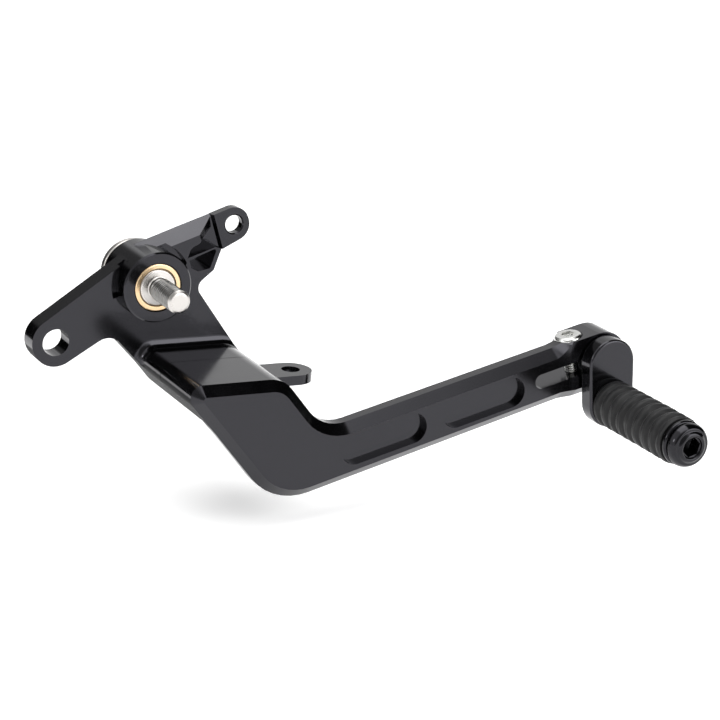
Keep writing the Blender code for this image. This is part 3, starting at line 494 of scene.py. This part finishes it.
def build_pivot_bolt():
    """Shoulder bolt: dished head, shoulder, undercut and thread, with a hex socket in the head."""
    low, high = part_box("pivot_bolt")
    head = (high.x - low.x) / 2.0
    back, tip = high.y, low.y
    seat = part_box("thrust_washer")[1].y + WASHER_GAP
    centre = (0.0, 0.0)
    count = 64
    rings = [plain_ring(r, d, centre, count) for r, d in rounded_profile([
        (0.0, back - 0.1 * MM),
        (7.0 * MM, back - 0.1 * MM),
        (7.3 * MM, back),
        (head - 0.7 * MM, back),
        (head, back - 0.7 * MM),
        (head, seat + 0.35 * MM),
        (head - 0.35 * MM, seat),
        (SHOULDER_RADIUS, seat),
        (SHOULDER_RADIUS, SHOULDER_CHAMFER),
        (SHOULDER_RADIUS - SHOULDER_CHAMFER, 0.0),
        (3.75 * MM, 0.0),
        (UNDERCUT_RADIUS, -0.4 * MM),
        (UNDERCUT_RADIUS, -2.2 * MM),
        (3.6 * MM, -2.6 * MM),
    ], 0.15 * MM, 2)]
    rings += thread_rings(PIVOT_THREAD, -2.7 * MM, tip + 0.75 * MM, centre, count)
    rings += [plain_ring(r, d, centre, count) for r, d in (
        (3.9 * MM, tip + 0.7 * MM),
        (3.3 * MM, tip + 0.08 * MM),
        (3.15 * MM, tip),
        (2.1 * MM, tip),
        (1.0 * MM, tip),
        (0.0, tip),
    )]
    piece = new_piece("pivot_bolt_turned", skin(rings), "stainless", "bolt", "pivot_bolt")
    carve(piece, hex_mesh(BOLT_SOCKET, back - BOLT_SOCKET_DEPTH, back + MM, centre))
    smooth(piece, 30.0)


def build_clamp_bolt():
    """Button head screw across the clamp, made upright about Y and then stood on the arm."""
    washer_low, washer_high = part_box("clamp_washer")
    centre_of_washer = (washer_low + washer_high) / 2.0
    arm = math.radians(ARM_SLOPE)
    axis = Vector((-math.sin(arm), 0.0, math.cos(arm)))
    centre = (0.0, 0.0)
    count = 48
    seat = CLAMP_SEAT
    head = CLAMP_HEAD_RADIUS
    thread_start = seat - CLAMP_SHANK_LENGTH
    end = seat - CLAMP_SCREW_LENGTH
    rings = [plain_ring(r, d, centre, count) for r, d in rounded_profile([
        (0.0, seat + CLAMP_HEAD_HEIGHT),
        (3.3 * MM, seat + CLAMP_HEAD_HEIGHT),
        (4.4 * MM, seat + 2.3 * MM),
        (head, seat + 1.6 * MM),
        (head, seat + 0.15 * MM),
        (head - 0.2 * MM, seat),
        (CLAMP_THREAD["radius"], seat),
        (CLAMP_SHANK_RADIUS, seat - 0.6 * MM),
        (CLAMP_SHANK_RADIUS, thread_start),
    ], 0.5 * MM, 3)]
    rings += thread_rings(CLAMP_THREAD, thread_start, end + 0.3 * MM, centre, count, 8, 0.6 * MM)
    rings += [plain_ring(r, end, centre, count) for r in (2.1 * MM, 0.0)]
    piece = new_piece("clamp_bolt_turned", skin(rings), "zinc_steel", "lever", "clamp_bolt")
    carve(piece, hex_mesh(CLAMP_SOCKET, seat + 1.0 * MM, seat + 4.0 * MM, centre, 15.0))
    along = Vector((math.cos(arm), 0.0, math.sin(arm)))
    turn = Matrix((along, axis, along.cross(axis))).transposed().to_4x4()
    piece.data.transform(Matrix.Translation(centre_of_washer) @ turn)
    smooth(piece, 30.0)


def rubber_radius(outer, share, turn):
    """Radius of the sleeve's skin, share of the way along it and turn of the way round it."""
    angle = 2.0 * math.pi * turn
    ends = min(1.0, share / END_SHARE, (1.0 - share) / END_SHARE)
    phase = share * RIB_COUNT + RIB_LEAN * turn + 0.045 * math.sin(4.0 * angle + 21.0 * share)
    groove = (0.5 + 0.5 * math.cos(2.0 * math.pi * phase)) ** RIB_SHARPNESS
    seam = abs(((turn * 2.0 + 0.25) % 1.0) - 0.5)
    beside_seam = min(1.0, seam / SEAM_WIDTH)
    lump = 0.9 * math.sin(3.0 * angle + 9.0 * share) + 0.7 * math.sin(5.0 * angle - 14.0 * share)
    line = math.sin(2.0 * math.pi * (share * FINE_LINES + 0.4 * math.sin(3.0 * angle + 5.0 * share)))
    radius = outer - RIB_DEPTH * groove * ends * beside_seam - RUBBER_SKIN
    radius += (lump - 1.6) * LUMP_HEIGHT + (line - 1.0) * LINE_DEPTH
    return radius - RUBBER_END_ROUND * (1.0 - ends)


def build_rubber():
    """Sleeve with leaning round ribs, fine moulded lines and soft ends."""
    low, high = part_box("peg_rubber")
    centre = ((low.x + high.x) / 2.0, (low.z + high.z) / 2.0)
    outer = (high.x - low.x) / 2.0
    back, front = high.y, low.y
    step = outer - RUBBER_END_STEP
    count, rows = 96, 200
    rings = [plain_ring(RUBBER_BORE, back, centre, count), plain_ring(step, back, centre, count)]
    for row in range(rows + 1):
        share = row / rows
        depth = back + (front - back) * share - 0.02 * MM * (1.0 - 2.0 * share)
        ring = []
        for k in range(count):
            turn = k / count
            ring.append(around(centre, rubber_radius(outer, share, turn), depth, 2.0 * math.pi * turn))
        rings.append(ring)
    rings += [plain_ring(step, front, centre, count), plain_ring(RUBBER_BORE, front, centre, count)]
    piece = new_piece("peg_rubber_ribbed", skin(rings, closed=True), "rubber", "peg", "peg_rubber")
    smooth(piece, 50.0)


def build_peg_end():
    """Stepped ring at the sleeve's outer end, and the domed bolt with a hex socket that holds it."""
    low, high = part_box("peg_end_washer")
    centre = ((low.x + high.x) / 2.0, (low.z + high.z) / 2.0)
    outer = (high.x - low.x) / 2.0
    back, front = high.y, low.y
    count = 96
    profile = rounded_profile([
        (RING_BORE, back),
        (outer - 0.5 * MM, back),
        (outer, back - 0.5 * MM),
        (outer, front + 0.6 * MM),
        (outer - 0.5 * MM, front + 0.1 * MM),
        (outer - 1.0 * MM, front),
        (RING_BORE, front),
    ], 0.35 * MM, 4)
    ring = skin([plain_ring(r, d, centre, count) for r, d in profile], closed=True)
    smooth(new_piece("peg_end_washer_turned", ring, "black_steel", "peg", "peg_end_washer"), 40.0)
    low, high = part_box("peg_bolt")
    head = (high.x - low.x) / 2.0
    tip, end = high.y, low.y
    seat = front - RING_GAP
    rings = [plain_ring(r, d, centre, count) for r, d in rounded_profile([
        (0.0, tip),
        (PEG_BOLT_RADIUS - 0.6 * MM, tip),
        (PEG_BOLT_RADIUS, tip - 0.6 * MM),
        (PEG_BOLT_RADIUS, seat),
        (6.7 * MM, seat),
        (6.8 * MM, seat - 0.6 * MM),
        (head, seat - 1.1 * MM),
        (head, end + 3.4 * MM),
        (head - 0.35 * MM, end + 2.1 * MM),
        (head - 1.2 * MM, end + 1.0 * MM),
        (head - 2.1 * MM, end + 1.0 * MM),
        (head - 2.6 * MM, end + 0.35 * MM),
        (head - 3.3 * MM, end),
        (head - 4.0 * MM, end + 0.2 * MM),
        (3.7 * MM, end + 1.1 * MM),
        (0.0, end + 1.1 * MM),
    ], 0.55 * MM, 4)]
    bolt = new_piece("peg_bolt_turned", skin(rings), "black_steel", "peg", "peg_bolt")
    carve(bolt, hex_mesh(PEG_SOCKET, end + PEG_SOCKET_DEPTH, end - MM, centre, 12.0))
    smooth(bolt, 34.0)


def dress_cad_nodes():
    """Six nodes keep their CAD shape with softened edges, and the rest only get a material."""
    for node, body, material, width in (
        ("pivot_bracket", "lever", "black_anodised", 0.28 * MM),
        ("lever_arm", "lever", "black_anodised", 0.3 * MM),
        ("peg_holder", "peg", "black_anodised", 0.25 * MM),
        ("pivot_bush_front", "lever", "bronze", 0.15 * MM),
        ("thrust_washer", "bolt", "bronze", 0.12 * MM),
        ("clamp_washer", "lever", "zinc_steel", 0.1 * MM),
    ):
        softened_copy(node, body, material, width)
    for node, material in (
        ("pivot_bush_rear", "bronze"),
        ("joint_screw_left", "black_steel"),
        ("joint_screw_right", "black_steel"),
        ("joint_washer_left", "zinc_steel"),
        ("joint_washer_right", "zinc_steel"),
        ("joint_dowel_left", "zinc_steel"),
        ("joint_dowel_right", "zinc_steel"),
        ("peg_core", "zinc_steel"),
    ):
        materials = NODES[node].data.materials
        materials.clear()
        materials.append(MATERIALS[material])


# ---------------------------------------------------------------- studio

def studio_floor():
    """Paper sweep that dips on the right, so that the lever can swing down without touching it."""
    high = cad_box[0].z - FLOOR_GAP
    stations = [(-FLOOR_REACH, 0.0)]
    for k in range(DIP_STEPS + 1):
        share = k / DIP_STEPS
        stations.append((DIP_START + (DIP_END - DIP_START) * share, share * share * (3.0 - 2.0 * share)))
    stations.append((FLOOR_REACH, 1.0))
    bm = bmesh.new()
    sides = (-FLOOR_REACH, FLOOR_REACH)
    rows = [[bm.verts.new((x, y, high - DIP_DEPTH * dip)) for y in sides] for x, dip in stations]
    for (a, b), (c, d) in zip(rows, rows[1:]):
        bm.faces.new((a, c, d, b))
    mesh = bpy.data.meshes.new("floor")
    bm.to_mesh(mesh)
    bm.free()
    mesh.shade_smooth()
    floor = bpy.data.objects.new("floor", mesh)
    bpy.context.scene.collection.objects.link(floor)
    shader = Shader("floor_paper")
    shader.colour(shader.blend_colours(shader.noise(3.0, 2.0), (0.86, 0.86, 0.86), (0.88, 0.88, 0.88)))
    shader.set(Metallic=0.0, Roughness=0.9, Specular_IOR_Level=0.0)
    shader.set(Emission_Color=(1.0, 1.0, 1.0, 1.0), Emission_Strength=0.34)
    mesh.materials.append(shader.material)


def flag(name, tone, corners):
    """A dark card that only reflections see: a studio flag, or a sheet of painted shade on the floor."""
    bm = bmesh.new()
    bm.faces.new([bm.verts.new(corner) for corner in corners])
    mesh = bpy.data.meshes.new(name)
    bm.to_mesh(mesh)
    bm.free()
    card = bpy.data.objects.new(name, mesh)
    bpy.context.scene.collection.objects.link(card)
    shader = Shader(f"{name}_cloth")
    shader.colour(shader.blend_colours(shader.noise(30.0), (tone,) * 3, (1.05 * tone,) * 3))
    shader.set(Roughness=1.0, Specular_IOR_Level=0.0)
    mesh.materials.append(shader.material)
    card.visible_camera = card.visible_diffuse = card.visible_shadow = False


def studio_flags():
    """One card stands behind the lever on the left, and one grey sheet lies flat behind its foot as painted
    shade for the floor there.
    """
    ground = cad_box[0].z - MM
    left, right, behind, top = -0.6, -0.03, 0.35, 0.12
    flag("flag_behind", 0.002, (
        (left, behind, ground), (right, behind, ground), (right, behind, top), (left, behind, top),
    ))
    left, right, front, back = -0.07, 0.02, 0.02, 0.13
    # Painted shade: this grey sheet stands for the shaded floor behind the foot, and only reflections see
    # it.
    flag("floor_shade_card", 0.2, (
        (left, front, ground), (right, front, ground), (right, back, ground), (left, back, ground),
    ))


class Sky:
    """Lays out the studio's walls as smooth patches of brightness over directions."""

    def __init__(self, world):
        self.tree = world.node_tree
        self.output = self.tree.nodes["Background"]
        coordinates = self.tree.nodes.new("ShaderNodeTexCoord")
        split = self.tree.nodes.new("ShaderNodeSeparateXYZ")
        self.tree.links.new(coordinates.outputs["Generated"], split.inputs[0])
        self.axes = dict(zip("xyz", split.outputs))

    def step(self, axis, start, end):
        """Rises from 0 at start to 1 at end along one axis."""
        ramp = self.tree.nodes.new("ShaderNodeMapRange")
        ramp.interpolation_type = "SMOOTHSTEP"
        ramp.inputs["From Min"].default_value = min(start, end)
        ramp.inputs["From Max"].default_value = max(start, end)
        ramp.inputs["To Min"].default_value = 0.0 if end > start else 1.0
        ramp.inputs["To Max"].default_value = 1.0 if end > start else 0.0
        self.tree.links.new(self.axes[axis], ramp.inputs["Value"])
        return ramp.outputs["Result"]

    def math(self, operation, first, second):
        """Works on two values, each a number or another node's output."""
        node = self.tree.nodes.new("ShaderNodeMath")
        node.operation = operation
        for socket, value in zip(node.inputs, (first, second)):
            if isinstance(value, (int, float)):
                socket.default_value = value
            else:
                self.tree.links.new(value, socket)
        return node.outputs[0]

    def patch(self, *steps):
        """Is 1 where every step is 1, and fades to 0 across each of them."""
        result = 1.0
        for entry in steps:
            result = self.math("MULTIPLY", result, self.step(*entry))
        return result


def studio_light():
    """Soft, even walls with the bright boxes and dark cards of WALL_PATCHES."""
    world = bpy.data.worlds.new("studio")
    world.use_nodes = True
    bpy.context.scene.world = world
    sky = Sky(world)
    level = WALL_LEVEL
    for strength, *steps in WALL_PATCHES.values():
        level = sky.math("ADD", level, sky.math("MULTIPLY", sky.patch(*steps), strength))
    world.node_tree.links.new(level, sky.output.inputs["Color"])
    sky.output.inputs["Strength"].default_value = 1.0


def make_camera():
    data = bpy.data.cameras.new("camera")
    data.sensor_width = 36.0
    data.lens = CAMERA_LENS
    data.clip_start = 0.01
    camera = bpy.data.objects.new("camera", data)
    camera.location = CAMERA_PLACE
    camera.rotation_euler = (math.radians(CAMERA_PITCH), 0.0, math.radians(CAMERA_HEADING))
    bpy.context.scene.collection.objects.link(camera)
    bpy.context.scene.camera = camera


build_pivot_bolt()
build_clamp_bolt()
build_rubber()
build_peg_end()
dress_cad_nodes()
studio_floor()
studio_flags()
studio_light()
make_camera()
bpy.context.scene.view_settings.view_transform = "Standard"
